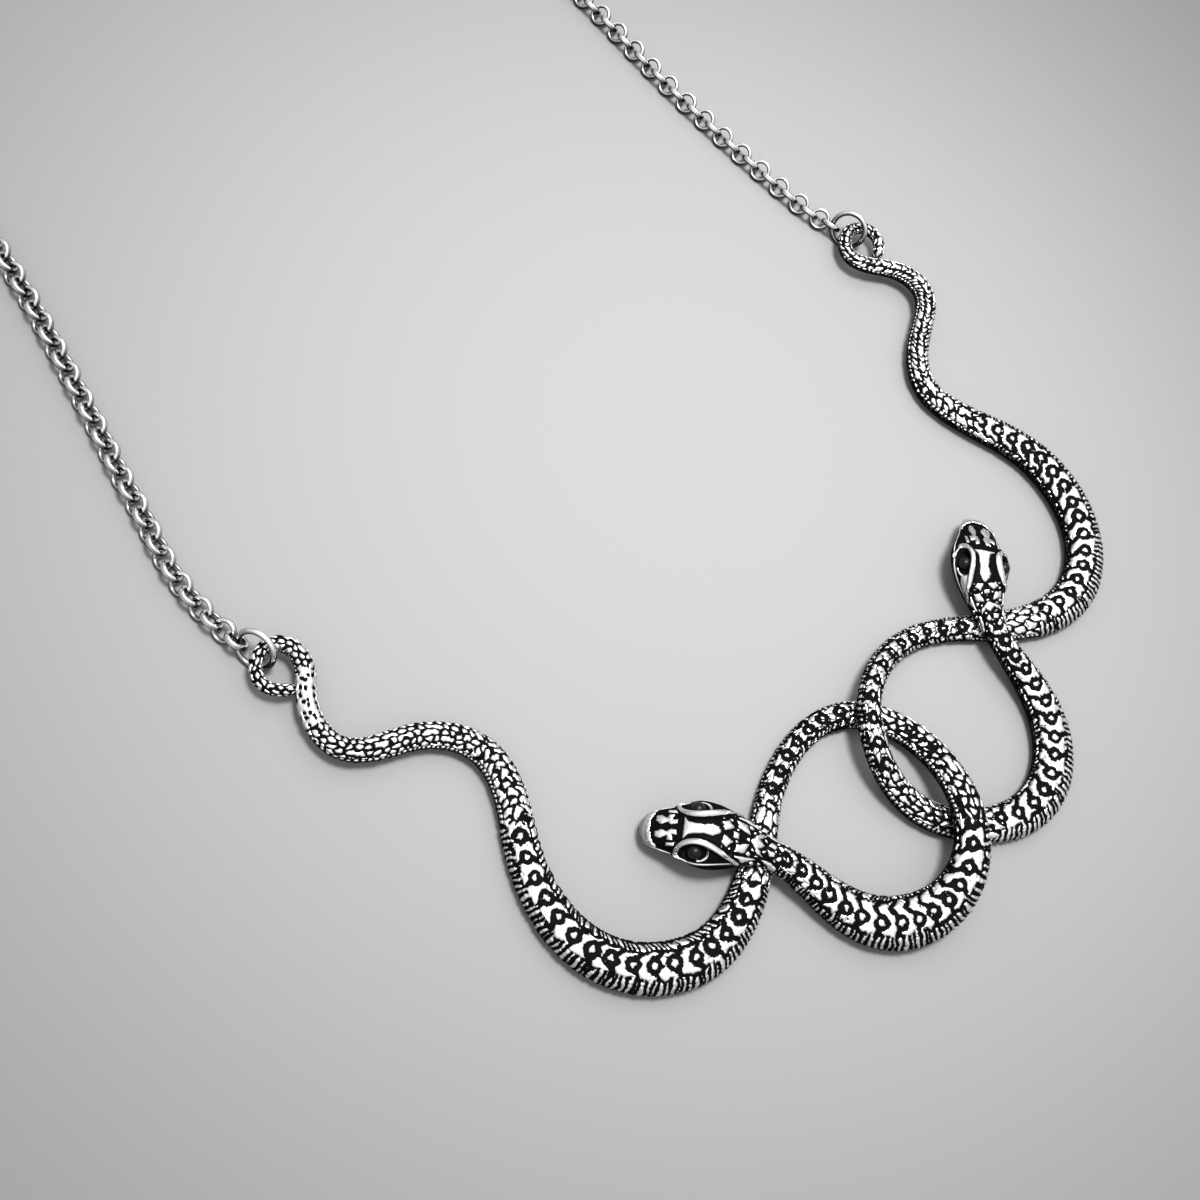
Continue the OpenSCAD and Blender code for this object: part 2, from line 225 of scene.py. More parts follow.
def pebbles(x, y, lot, long, wide, jitter=0.4, joined=0.25, stagger=0.5):
    """Distances to the nearest groove between scales in staggered rows and to the middle of one."""
    row0 = np.floor(y / wide + 0.5).astype(int)
    first = np.full(x.shape, 99.0)
    second = np.full(x.shape, 99.0)
    owner = np.full(x.shape, -1)
    for r in (-1, 0, 1):
        row = row0 + r
        u = x / long + stagger * (row % 2)
        col0 = np.floor(u + 0.5).astype(int)
        for c in (-1, 0, 1):
            col = col0 + c
            key = col * 7 + row * 131
            px = (col - stagger * (row % 2) + jitter * (drawn(lot, key) - 0.5)) * long
            py = (row + jitter * (drawn(lot + 1, key) - 0.5)) * wide
            gap = np.hypot((x - px) * wide / long, y - py) * math.sqrt(long / wide)
            # a scale that is joined takes the name of the one before it, so no groove parts them
            name = np.where(drawn(lot + 2, key) < joined, col - 1, col) * 1000 + row
            nearer = gap < first
            other = name != owner
            second = np.where(nearer & other, first,
                              np.where(~nearer & other, np.minimum(second, gap), second))
            owner = np.where(nearer, name, owner)
            first = np.where(nearer, gap, first)
    return (second - first) / 2, first


# the groove round a spot: its radius and half its width, in mm
SPOT_RING, RING_GROOVE = 0.60, 0.215
# how far spots stray, as a share of their pitch along the row and in mm across it
STRAY_ALONG, STRAY_ACROSS = 0.12, 0.24
# how blunt and how wide spots are, and how much the smallest are shrunk, and the others less
SPOT_BLUNTNESS, SPOT_WIDENING, SPOT_SHRINK, SPOT_RANGE = 1.6, 0.95, 1.10, 0.22
# which spots have a neck, by their draw, and half its width
NECKED_FROM, NECK_HALF = 0.45, 0.09
# how much the plates lean and how far they reach from the row, on the ribs' side and opposite
PLATE_LEAN, PLATE_REACH = (0.35, 0.95), (1.32, 1.10)
# how far from the row their lean starts, and where bent ones turn back
LEAN_START, BEND_START = 0.25, 1.35
# half the width of the grooves between plates, between ribs and between bars
PLATE_GROOVE, RIB_GROOVE, BAR_GROOVE = 0.195, 0.085, 0.10
RIBS_TO_SPOT, RIB_LEAN, RIB_SHIFT, RIBS_JOINED = 4, 0.08, 0.1, 0.35
# the bars' pitch, as a share of the spots' one, and their lean
BAR_PITCH, BAR_LEAN = 0.29, 0.55
# where the middle of a bar lies beyond the end of its plate, and half its length
BAR_MIDDLE, BAR_HALF = 0.64, 0.46


def spotted(x, y, pitch, ribs, bent, lot):
    """The main ornament: round spots in a row, some of them open to their plate, waisted plates
    between them that lean towards the head, ribs outside the plates on one side and short bars on
    the other. x counts the spots, y is the distance left of their row in mm, ribs is 1 where the
    ribs lie left and -1 where right, and bent is how far the plates run on and turn back on the
    side without ribs."""
    far = np.abs(y)
    ribbed = y * ribs > 0

    # the spot, a blunt diamond with a black groove round it
    i = np.floor(x + 0.5).astype(int)
    dx = (x - i - STRAY_ALONG * (drawn(lot, i) - 0.5)) * pitch
    dy = y - STRAY_ACROSS * (drawn(lot + 1, i) - 0.5)
    shrink = SPOT_SHRINK - SPOT_RANGE * drawn(lot + 9, i)
    r = np.abs(dx) ** SPOT_BLUNTNESS + (SPOT_WIDENING * np.abs(dy)) ** SPOT_BLUNTNESS
    r = r ** (1 / SPOT_BLUNTNESS) * shrink
    r = r + 0.05 * wander(x * pitch, y, 0.5, 36)
    ring = np.abs(r - SPOT_RING) - RING_GROOVE

    # in the larger spots a narrow neck crosses the groove, in any direction
    way = 6.283 * drawn(lot + 10, i)
    neck = NECK_HALF - np.abs(dy * np.cos(way) - dx * np.sin(way))
    neck = np.where(dx * np.cos(way) + dy * np.sin(way) > 0, neck, -1)
    ring = np.where(drawn(lot + 9, i) > NECKED_FROM, np.maximum(ring, neck), ring)

    # the plates, parted by a groove that leans and, where they are bent, turns back
    lean = np.where(ribbed, *PLATE_LEAN)
    turn = np.where(ribbed, 0, 2.0 * bent) * np.maximum(far - BEND_START, 0)
    swept = x - (lean * np.maximum(far - LEAN_START, 0) - turn) / pitch
    parting = rungs(swept, lot + 2, 1.0, 0, 0.10) * pitch / np.sqrt(1 + lean ** 2) - PLATE_GROOVE
    end = np.where(ribbed, PLATE_REACH[0], PLATE_REACH[1] + 1.1 * bent)
    end = end + 0.17 * wander(x * pitch, 3 * ribbed, 0.9, 21)
    plate = soft_min(parting, end - far, 0.08)
    plate = np.where(r < SPOT_RING, ring, np.minimum(ring, plate))

    # the ribs, some of them joined to their plate, and the bars, which are rather fewer
    along = x + RIB_LEAN * far / pitch
    cell = np.floor(along * RIBS_TO_SPOT + (RIB_SHIFT + 0.5)).astype(int)
    joined = drawn(lot + 6, cell) < RIBS_JOINED
    rib = rungs(along, lot + 4, 1 / RIBS_TO_SPOT, RIB_SHIFT, 0.35) * pitch - RIB_GROOVE
    rib = soft_min(rib, far - end + np.where(joined, 0.3, -0.24), 0.06)
    bar = rungs(x + BAR_LEAN * far / pitch, lot + 7, BAR_PITCH, 0, 0.6, 0.12)
    bar = bar * pitch - BAR_GROOVE
    bar = soft_min(bar, BAR_HALF - np.abs(far - end - BAR_MIDDLE), 0.08)
    return np.maximum(plate, np.where(ribbed, rib, bar))


# which kind of scale lies from where on: distance from the tip of the tail, kind
DOTTED, SMALL, SPOTTED, LOZENGES, LARGE, CRESCENTS = range(6)
ZONES = {
    "left": [[0, SMALL], [12.5, DOTTED], [17.5, SMALL], [34, CRESCENTS], [42.3, SPOTTED],
             [76, LARGE], [83.5, SPOTTED], [98, LOZENGES], [116, SPOTTED]],
    "right": [[0, SMALL], [34, CRESCENTS], [41.6, SPOTTED], [74.3, LARGE], [82.4, SPOTTED],
              [107, LOZENGES], [121, SPOTTED]],
}
# distance from the tip of the tail, pitch of the spots, how far they lie left of the spine,
# side of the ribs, how far the plates are bent, lean of the small scales
SPOTS = {
    "left": [[0, 1.95, 0, -1, 0, 0.3], [42, 2.02, -0.2, -1, 0, 0.3], [57, 2.02, -0.1, -1, 0.1, 0],
             [68, 2.02, 0.2, -1, 0.1, 0], [76, 2.0, 0.3, -1, 0, 0], [80, 1.9, 0.3, 1, 0, 0.2],
             [100, 1.9, 0.2, 1, 0, 0.2], [116, 2.04, -0.5, 1, 0.4, 0], [124, 2.04, -0.4, 1, 0.8, 0],
             [130, 2.04, 0.1, 1, 1.1, 0], [134, 2.04, 0.5, 1, 0.8, 0], [140, 1.9, 0.4, 1, 0.5, 0],
             [146, 1.7, 0, 1, 0.3, 0]],
    "right": [[0, 1.95, -0.3, 1, 0, 0.9], [42, 2.0, -0.3, 1, 0.2, 0.8], [52, 2.08, -0.6, 1, 0.5, 0],
              [60, 2.14, -0.8, 1, 0.5, 0], [66, 2.14, -0.9, 1, 0.3, 0], [74, 2.1, -0.5, 1, 0.1, 0],
              [78, 2.1, 0, -1, 0, 0.3], [107, 2.1, 0, -1, 0, 0.3], [120, 2.2, 0.4, -1, 0.3, 0],
              [130, 2.2, 0.7, -1, 0.5, 0], [137, 2.2, 0.4, -1, 0.4, 0], [145, 1.8, 0.2, -1, 0.4, 0]],
}
# scales of the other kinds: length, width, unevenness, share that is joined to the next one, half
# the width of their grooves
SMALL_SCALES = {"left": (0.80, 0.66, 0.5, 0.2, 0.13), "right": (0.66, 0.95, 0.4, 0.2, 0.155)}
LOZENGE_SCALES = (1.08, 0.80, 0.8, 0.3, 0.13)
LARGE_SCALES = (1.5, 0.92, 0.6, 0.3, 0.12)
CRESCENT_SCALES = (0.76, 1.2, 0.7, 0.2, 0.115)
SPLIT_SCALES = (1.0, 0.72, 0.9, 0.15, 0.06)
DOT_PITCH, DOT_RADIUS = 0.76, 0.23
# the first rows of draws for the small scales, for the large and split ones, and for the flanks
SMALL_LOTS, LARGE_LOTS, FLANK_LOTS = 11, 14, 17
# the lean of the lozenges, large scales and crescents, in mm along for each mm off the spine
LOZENGE_LEAN, LARGE_LEAN, CRESCENT_LEAN = 0.3, 0.5, -0.5
# a body of this width carries its ornament at full size
FULL_WIDTH = 4.8
COUNT_STEP = 0.1
# the long ribs of a plain stretch: pitch, lean, half the width of their grooves, and their upper
# end as a share of the flank, on the ribs' side and opposite
RIB_PITCH, LONG_RIB_LEAN, LONG_RIB_GROOVE, RIB_START = 0.52, 0.25, 0.115, (0.64, 0.66)
# where the wall at the foot of the flank starts, as a share of the flank: on a plain stretch, and
# elsewhere on the ribs' side and opposite
WALL_PLAIN, WALL_START = 0.80, (0.93, 0.82)
# the dark line on top of the wall, and the cord below it: pitch of its notches, half their width,
# where its middle lies, half its width, and how dull it stays
WALL_LINE = 0.06
CORD_PITCH, CORD_NOTCH, CORD_MIDDLE, CORD_HALF, CORD_DULL = 0.46, 0.07, 0.25, 0.14, -0.014


def plain_scales(s, v, lean, lot, sizes):
    """How far a point lies inside a scale that leans back by lean for each mm off the spine."""
    long, wide, uneven, joined, groove = sizes
    return pebbles(s + lean * np.abs(v), v, lot, long, wide, uneven, joined)[0] - groove


def body_scales(name, body, s, v):
    """How far each point lies inside a polished scale, in mm; negative in the grooves."""
    flank = body.flank(s[:, 0])
    _, _, _, half, _ = body.section(s[:, 0])
    # the ornament shrinks a little where the snake is thin
    fit = np.clip(2 * half[:, None] / FULL_WIDTH, 0.5, 1.1) ** 0.45
    # the number of spots up to each point, with their pitch and lie there
    rows = np.array(SPOTS[name], float)
    fine = np.arange(0, body.length, COUNT_STEP)
    share = COUNT_STEP / np.interp(fine, rows[:, 0], rows[:, 1])
    x = np.interp(s, fine, np.concatenate([[0], np.cumsum(share)[:-1]]))
    pitch, middle = (np.interp(s, rows[:, 0], rows[:, k]) for k in (1, 2))
    ribs = np.sign(np.interp(s, rows[:, 0], rows[:, 3]))
    bent, slope = (np.interp(s, rows[:, 0], rows[:, k]) for k in (4, 5))
    # every point is moved a little, and each snake has draws of its own
    lot = 0 if name == "left" else 20
    shake_s = 0.10 * wander(s, v, 1.3, 31 + lot) + 0.05 * wander(s, v, 0.5, 32 + lot)
    shake_v = 0.09 * wander(s, v, 1.3, 33 + lot) + 0.05 * wander(s, v, 0.5, 34 + lot)
    s2, v2 = s + shake_s, v + shake_v
    edges = np.array(ZONES[name], float)
    kind = edges[np.searchsorted(edges[:, 0], s + 0.5 * wander(s, v, 2.0, 35)) - 1, 1]

    main = spotted(x + 0.7 * shake_s / pitch, (v2 - middle) / fit, pitch / fit, ribs, bent, lot)
    _, from_dot = pebbles(s2, v2, lot + SMALL_LOTS, DOT_PITCH, DOT_PITCH, 0.7, 0)
    scales = {
        DOTTED: from_dot - DOT_RADIUS,
        SMALL: plain_scales(s2, v2, slope, lot + SMALL_LOTS, SMALL_SCALES[name]),
        SPOTTED: main * fit,
        LOZENGES: plain_scales(s2, v2, LOZENGE_LEAN, lot + LARGE_LOTS, LOZENGE_SCALES),
        LARGE: plain_scales(s2, v2, LARGE_LEAN, lot + LARGE_LOTS, LARGE_SCALES),
        CRESCENTS: plain_scales(s2, v2, CRESCENT_LEAN, lot + SMALL_LOTS, CRESCENT_SCALES),
    }
    inside = np.select([kind == k for k in scales], list(scales.values()))

    # past the dots and small scales the casting is rougher: the grooves are wider, and short
    # crooked cuts break some scales, more of them where the snake is thin
    crooked = 0.55 * np.abs(wander(s, v, 0.75, 51)) - 0.06
    crooked = crooked + np.clip(0.9 * wander(s, v, 1.9, 52) + 0.30 - 1.7 * (1.0 - fit), 0, 1)
    wider = np.where(kind == SPOTTED, 0.075, 0.02) + 0.05 * (1.05 - fit) * (kind > SMALL)
    inside = np.where(kind < SPOTTED, inside, np.minimum(inside - wider, crooked))
    # and on the thin loops the plates between the spots are split into smaller scales
    split = plain_scales(s2, v2, 0, lot + LARGE_LOTS, SPLIT_SCALES)
    split = split + 1.6 * np.clip(fit - 0.86, 0, 1)
    inside = np.where(kind == SPOTTED, np.minimum(inside, split), inside)

    # on plain stretches, with neither spots nor dots, long ribs run down both flanks
    ribbed = v * ribs > 0
    rib = rungs(s + LONG_RIB_LEAN * np.abs(v), lot + FLANK_LOTS, RIB_PITCH, 0, 0.25)
    rib = rib - LONG_RIB_GROOVE
    edge = flank * np.where(ribbed, *RIB_START) + 0.10 * wander(s, v, 1.5, 37)
    plain = (kind != DOTTED) & (kind != SPOTTED)
    low = plain & (np.abs(v) > edge)
    inside = np.where(low, np.minimum(rib, np.abs(v) - edge - 0.10), inside)
    inside = np.where(plain & ~low, soft_min(inside, edge - np.abs(v), 0.05), inside)

    # at the foot of the flank lies a dull wall, notched like a twisted cord
    wall = np.abs(v) - flank * np.where(plain, WALL_PLAIN, np.where(ribbed, *WALL_START))
    wall = wall - 0.05 * wander(s, v, 1.5, 38)
    cord = CORD_NOTCH - rungs(s + 0.8 * v, lot + FLANK_LOTS, CORD_PITCH, 0, 0.5, 0.3)
    cord = np.minimum(np.minimum(cord, CORD_HALF - np.abs(wall - CORD_MIDDLE)), CORD_DULL)
    foot = np.where(wall < WALL_LINE, -0.08, cord)
    return np.where(wall > 0, foot, np.minimum(inside, -wall))


# a groove's depth, and how far outside and inside the edge of a scale its wall starts and ends
GROOVE_DEPTH, WALL_FOOT, WALL_TOP = 0.15, -0.10, 0.045
# how much lower a scale is at its edge than in its middle, and how wide that slope is
CROWN_DROP, CROWN_WIDTH = 0.05, 0.35
# how fast the polish grows from the edge of a scale inwards, for each mm
POLISH_RATE = 4


def relief(inside):
    """Depth below the tops of the scales, in mm: a groove with sloping walls, a soft crown."""
    groove = -GROOVE_DEPTH * (1 - step_up(inside, WALL_FOOT, WALL_TOP))
    return groove - CROWN_DROP * (1 - np.clip(inside / CROWN_WIDTH, 0, 1)) ** 2


def rubbed(inside):
    """Polish, from 0 in the grooves to 1 on the scales, half at their edges."""
    return np.clip(0.5 + POLISH_RATE * inside, 0, 1)


# folds sharper than this, in degrees, are drawn as edges
SHARP_FROM = 70


def sheet_mesh(name, points, polish):
    """A closed mesh over rings of points, capped at both ends, with its polish as an attribute."""
    rings, sides = points.shape[:2]
    grid = np.arange(rings * sides).reshape(rings, sides)
    a, b = grid[:-1], grid[1:]
    quads = np.stack([a, np.roll(a, -1, axis=1), np.roll(b, -1, axis=1), b], axis=-1).reshape(-1, 4)
    ends = np.array([points[0].mean(axis=0), points[-1].mean(axis=0)])
    verts = np.vstack([points.reshape(-1, 3), ends]) * MM
    m = rings * sides
    fans = [[m, grid[0, (j + 1) % sides], grid[0, j]] for j in range(sides)]
    fans += [[m + 1, grid[-1, j], grid[-1, (j + 1) % sides]] for j in range(sides)]
    mesh = bpy.data.meshes.new(name)
    mesh.from_pydata(verts.tolist(), [], quads.tolist() + [[int(k) for k in f] for f in fans])
    mesh.update()
    # the points in the middle of both caps are left black
    layer = mesh.attributes.new("polish", "FLOAT", "POINT")
    layer.data.foreach_set("value", np.append(polish.ravel(), [0, 0]).astype(np.float32))
    piece = bpy.data.objects.new(name, mesh)
    bpy.context.scene.collection.objects.link(piece)
    bpy.ops.object.select_all(action="DESELECT")
    piece.select_set(True)
    bpy.context.view_layer.objects.active = piece
    bpy.ops.object.mode_set(mode="EDIT")
    bpy.ops.mesh.select_all(action="SELECT")
    bpy.ops.mesh.normals_make_consistent(inside=False)
    bpy.ops.object.mode_set(mode="OBJECT")
    bpy.ops.object.shade_smooth_by_angle(angle=math.radians(SHARP_FROM))
    piece.select_set(False)
    return piece


def new_material(name):
    """A material with its node tree and its shader."""
    material = bpy.data.materials.new(name)
    material.use_nodes = True
    return material, material.node_tree, material.node_tree.nodes["Principled BSDF"]


def wear(tree, scale, detail=2):
    """Fine unevenness, fixed to the piece."""
    place = tree.nodes.new("ShaderNodeTexCoord")
    noise = tree.nodes.new("ShaderNodeTexNoise")
    noise.inputs["Scale"].default_value = scale
    noise.inputs["Detail"].default_value = detail
    tree.links.new(place.outputs["Object"], noise.inputs["Vector"])
    return noise.outputs["Fac"]


def spread(tree, value, low, high, least=0.0, most=1.0, smooth=False):
    """The value between low and high, spread from least to most."""
    node = tree.nodes.new("ShaderNodeMapRange")
    if smooth:
        node.interpolation_type = "SMOOTHSTEP"
    node.inputs["From Min"].default_value = low
    node.inputs["From Max"].default_value = high
    node.inputs["To Min"].default_value = least
    node.inputs["To Max"].default_value = most
    tree.links.new(value, node.inputs["Value"])
    return node.outputs["Result"]


def facing_up(tree, low, high, least):
    """1 where the metal faces up, falling to least where it faces aside: the share left by painted
    shade.
    """
    place = tree.nodes.new("ShaderNodeTexCoord")
    parts = tree.nodes.new("ShaderNodeSeparateXYZ")
    tree.links.new(place.outputs["Normal"], parts.inputs["Vector"])
    return spread(tree, parts.outputs["Z"], low, high, least, smooth=True)


def two_tones(tree, value, dark_at, dark, light_at, light):
    """A colour that goes from dark to light with the value."""
    ramp = tree.nodes.new("ShaderNodeValToRGB")
    ramp.color_ramp.elements[0].position = dark_at
    ramp.color_ramp.elements[0].color = dark
    ramp.color_ramp.elements[1].position = light_at
    ramp.color_ramp.elements[1].color = light
    tree.links.new(value, ramp.inputs["Fac"])
    return ramp.outputs["Color"]


def darkened_by_painted_shade(tree, colour, share):
    """The colour, darkened to the share given, as painted shade."""
    mix = tree.nodes.new("ShaderNodeMix")
    mix.data_type = "RGBA"
    mix.blend_type = "MULTIPLY"
    mix.inputs["Factor"].default_value = 1
    tree.links.new(colour, mix.inputs["A"])
    tree.links.new(share, mix.inputs["B"])
    return mix.outputs["Result"]


# The silver is bright on the scales and black with oxide in the grooves. The polish, worn a little
# unevenly, says which. Painted shade darkens the flanks, where the metal faces aside.
OXIDE, SILVER = (0.002, 0.002, 0.0022, 1), (0.95, 0.945, 0.935, 1)
BLACK_TO, BRIGHT_FROM = 0.53, 0.67
OXIDE_ROUGHNESS, SILVER_ROUGHNESS = 0.55, 0.24
# how far the metal faces up where the painted shade on the flanks is fullest and where it ends,
# from 0 to 1, and what it leaves of the brightness
FLANK_SHADE_FULL, FLANK_SHADE_END, FLANK_SHADE_LEAVES = 0.1, 0.85, 0.22
GRAIN_SCALE, GRAIN_SHARE, GRAIN_HEIGHT = 2600, 0.22, 0.00003
snake_silver, tree, shader = new_material("cast silver, oxidised")
polish = tree.nodes.new("ShaderNodeAttribute")
polish.attribute_name = "polish"
fine_grain = wear(tree, GRAIN_SCALE, 3)
worn = tree.nodes.new("ShaderNodeMath")
worn.operation = "MULTIPLY_ADD"
worn.inputs[1].default_value = GRAIN_SHARE
tree.links.new(fine_grain, worn.inputs[0])
tree.links.new(polish.outputs["Fac"], worn.inputs[2])
tone = two_tones(tree, worn.outputs[0], BLACK_TO, OXIDE, BRIGHT_FROM, SILVER)
# painted shade: the flanks, which face aside, are darkened in the base colour
painted_flank_shade = facing_up(tree, FLANK_SHADE_FULL, FLANK_SHADE_END, FLANK_SHADE_LEAVES)
tree.links.new(darkened_by_painted_shade(tree, tone, painted_flank_shade), shader.inputs["Base Color"])
tree.links.new(spread(tree, worn.outputs[0], BLACK_TO, BRIGHT_FROM), shader.inputs["Metallic"])
roughness = spread(tree, worn.outputs[0], BLACK_TO, BRIGHT_FROM, OXIDE_ROUGHNESS,
                   SILVER_ROUGHNESS)
tree.links.new(roughness, shader.inputs["Roughness"])
shader.inputs["Specular IOR Level"].default_value = 0.12
shader.inputs["IOR"].default_value = 1.2
bump = tree.nodes.new("ShaderNodeBump")
bump.inputs["Strength"].default_value = 0.10
bump.inputs["Distance"].default_value = GRAIN_HEIGHT
tree.links.new(fine_grain, bump.inputs["Height"])
tree.links.new(bump.outputs["Normal"], shader.inputs["Normal"])

# rings of points along a body, with angles round it that are close together over the top and
# wide apart underneath; 90 degrees is straight up
RING_STEP = 0.11
ROUND_TOP = np.linspace(-26, 206, 105)
ROUND_UNDER = np.linspace(206, 334, 14)[1:-1]
BODY_ROUND = np.concatenate([ROUND_TOP, ROUND_UNDER])
# where the mesh of a body ends and that of its head starts, from the nose
NECK_END = 14.6
# the underside is left dull, as deep as a groove
UNDERSIDE = -0.12
# the tip of the tail is rounded over its first stretch, about a line just above the body's own
TIP_LENGTH, TIP_LIFT = 0.6, 0.4
bodies = {"left": Body(0), "right": Body(4)}
for name, body in bodies.items():
    ends = [0, (body.length - NECK_END) / 2, body.length - NECK_END]
    for part, s0, s1 in (("tail", ends[0], ends[1]), ("front", ends[1], ends[2])):
        s = np.linspace(s0, s1, int((s1 - s0) / RING_STEP) + 1)
        v = body.across(s, BODY_ROUND)
        inside = body_scales(name, body, np.repeat(s[:, None], v.shape[1], axis=1), v)
        inside[:, len(ROUND_TOP):] = UNDERSIDE
        tip = np.sqrt(np.clip(s / TIP_LENGTH, 0.02, 1))[:, None]
        points = body.skin(s, BODY_ROUND, relief(inside))
        middle = body.point(s)[:, None] - FOOTPRINT + np.array([0, 0, TIP_LIFT])
        points = middle + (points - middle) * tip[..., None]
        piece = sheet_mesh(f"snake_{name}_{part}", points, rubbed(inside))
        piece.data.materials.append(snake_silver)
        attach(piece, "root")
        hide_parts(f"snake_{name}")

# Heads
# Each head is cast in one with its snake: a flat snout with a rim, heavy brows over the eye
# sockets and a few large plates on the crown. The plates and brows are polished, the rest black.

# plates as rows of corners, distance from the nose and distance off the middle: first the ones
# that lie on both sides of the head, then those over its middle
PLATES = [
    [(1.25, 0.55), (1.75, 0.22), (2.2, 0.45), (2.5, 0.2), (3.0, 0.28), (3.05, 0.75), (2.65, 0.7),
     (2.75, 1.15), (2.35, 1.2), (2.15, 0.8), (1.75, 1.1), (1.35, 1.0)],
    [(2.2, 1.45), (3.0, 1.35), (2.9, 1.75), (2.3, 1.75)],
    [(6.95, 0.12), (7.9, 0.6), (7.3, 1.25), (6.75, 0.95)],
    [(8.15, 0.75), (9.3, 0.35), (9.0, 1.35), (7.95, 1.5)],
    [(8.0, 1.75), (9.0, 1.6), (10.4, 1.35), (9.0, 2.25)],
    [(10.9, 0.15), (11.7, 0.12), (11.9, 0.5), (11.3, 0.75)],
    [(12.0, 0.55), (12.8, 0.2), (13.2, 0.45), (12.6, 0.85)],
    [(10.6, 1.25), (11.6, 1.1), (13.9, 1.55), (14.2, 1.9), (12.0, 1.95)],
]
CENTRE_PLATES = [
    [(3.55, 1.05), (3.95, 0.55), (5.2, 0.42), (6.0, 0.58), (6.75, 0.18), (6.75, -0.18),
     (6.0, -0.58), (5.2, -0.42), (3.95, -0.55), (3.55, -1.05)],
    [(7.75, 0.32), (8.25, 0.3), (8.35, -0.3), (7.75, -0.32)],
    [(9.3, 0), (10.1, 1.0), (10.9, 1.1), (10.2, 0.45), (10.75, 0), (10.2, -0.45), (10.9, -1.1),
     (10.1, -1.0)],
    [(13.4, 0.3), (14.1, 0.45), (14.5, 0), (14.1, -0.45), (13.4, -0.3)],
]
# the brow and the rim under the eye: distance from the nose, distance off the middle, half
# width, height
BROW = np.array([[3.15, 2.5, 0.15, 0.12], [3.2, 1.85, 0.18, 0.26], [3.75, 1.3, 0.22, 0.46],
                 [4.8, 1.18, 0.25, 0.60], [6.0, 1.45, 0.25, 0.54], [7.3, 1.95, 0.21, 0.34],
                 [8.7, 2.5, 0.13, 0.12]])
LOWER_RIM = np.array([[3.15, 2.5, 0.12, 0.1], [3.7, 3.1, 0.10, 0.16], [4.8, 3.4, 0.11, 0.2],
                      [6.2, 3.2, 0.10, 0.15], [8.7, 2.5, 0.08, 0.05]])
# the smooth cheek, which shows on the left side of the right head alone
CHEEK = [(5.95, 1.7), (6.7, 1.85), (8.2, 2.35), (7.3, 2.7), (6.3, 2.9), (5.95, 2.7)]
# the middle of an eye on a plain head
EYE = (4.75, 2.25)
# each head leans, so its parts are shifted over its skin: right eye, middle and left eye off the
# spine, and the eyes' distance from the nose
FACES = {"left": (-2.6, -0.05, 2.5, 5.05), "right": (-2.75, 0.6, 2.85, 7.1)}
# how far before, behind and beside its eyes a head keeps the shape of a plain one
BEFORE_EYE, BEHIND_EYE, BESIDE_EYE = 1.5, 1.9, 2
# the nape on a leaning head and on a plain one, and where both are alike again, from the nose
NAPE, PLAIN_NAPE, LEAN_END = 12.6, 11.7, 14


def inside_plate(d, v, corners):
    """Distance inside a plate's outline, in mm, negative outside."""
    xs, ys = np.array(corners, float).T
    gap = np.full(d.shape, 99.0)
    odd = np.zeros(d.shape, bool)
    for x0, y0, x1, y1 in zip(xs, ys, np.roll(xs, -1), np.roll(ys, -1)):
        t = np.clip(((d - x0) * (x1 - x0) + (v - y0) * (y1 - y0))
                    / ((x1 - x0) ** 2 + (y1 - y0) ** 2), 0, 1)
        gap = np.minimum(gap, np.hypot(d - x0 - t * (x1 - x0), v - y0 - t * (y1 - y0)))
        crosses = (y0 > v) != (y1 > v)
        slope = (x1 - x0) / (y1 - y0 if y1 != y0 else 1e-9)
        odd ^= crosses & (d < (v - y0) * slope + x0)
    return np.where(odd, gap, -gap)


def along_ridge(d, v, rows):
    """Distance from a ridge's line, with its half width and height at the nearest point."""
    line = smooth_rows(rows, 12)
    gap = np.full(d.shape, 99.0)
    half = np.zeros(d.shape)
    tall = np.zeros(d.shape)
    for x, y, w, h in line:
        far = np.hypot(d - x, v - y)
        near = far < gap
        gap = np.where(near, far, gap)
        half = np.where(near, w, half)
        tall = np.where(near, h, tall)
    return gap, half, tall


def on_face(name, d, v):
    """Distances on a plain head for a point on this snake's head."""
    right_eye, middle, left_eye, eye_d = FACES[name]
    d = np.interp(d, [0, eye_d - BEFORE_EYE, eye_d + BEHIND_EYE, NAPE, LEAN_END],
                  [0, EYE[0] - BEFORE_EYE, EYE[0] + BEHIND_EYE, PLAIN_NAPE, LEAN_END])
    v = np.interp(v, [right_eye - BESIDE_EYE, right_eye, middle, left_eye, left_eye + BESIDE_EYE],
                  [-EYE[1] - BESIDE_EYE, -EYE[1], 0, EYE[1], EYE[1] + BESIDE_EYE])
    return d, v


# where the snout's plates end and the crown's begin, from the nose, and how far plates are cut
# back all round on the snout, between both and on the crown
SNOUT_END, CROWN_START = 3.2, 6.5
SNOUT_CUT, BROW_CUT, CROWN_CUT = 0.02, 0.03, 0.05
RAGGED = 0.035
# the small scales of the crown, as for the body, with where they start and how far they spread
CROWN_SCALES, CROWN_SCALES_START, CROWN_HALF = (0.85, 0.62, 0.6, 0.3, 0.19), 6.8, 2.2
# the rim of the nose: its distance from the tip, how much it bends back with each mm2 off the
# middle, half its width and how far back it reaches
NOSE_RIM, NOSE_RIM_BEND, NOSE_RIM_HALF, NOSE_RIM_END = 0.42, 0.20, 0.45, 2.7
# the lip along the snout: its upper edge as a share of the flank, how far below it its middle
# lies, half its width and where it ends
LIP_START, LIP_MIDDLE, LIP_HALF, LIP_END = 0.80, 0.20, 0.03, 4.2
# the head's relief is deeper than the body's
HEAD_DEPTH = 1.3
# how wide the black line beside a brow is, and the slopes beside a brow and beside the lower rim
BROW_LINE, BROW_SLOPE, LOWER_SLOPE = 0.16, 0.25, 0.15
# the eye socket: half its length, half its width and its depth
SOCKET_LONG, SOCKET_WIDE, SOCKET_DEPTH = 1.15, 0.85, 0.40
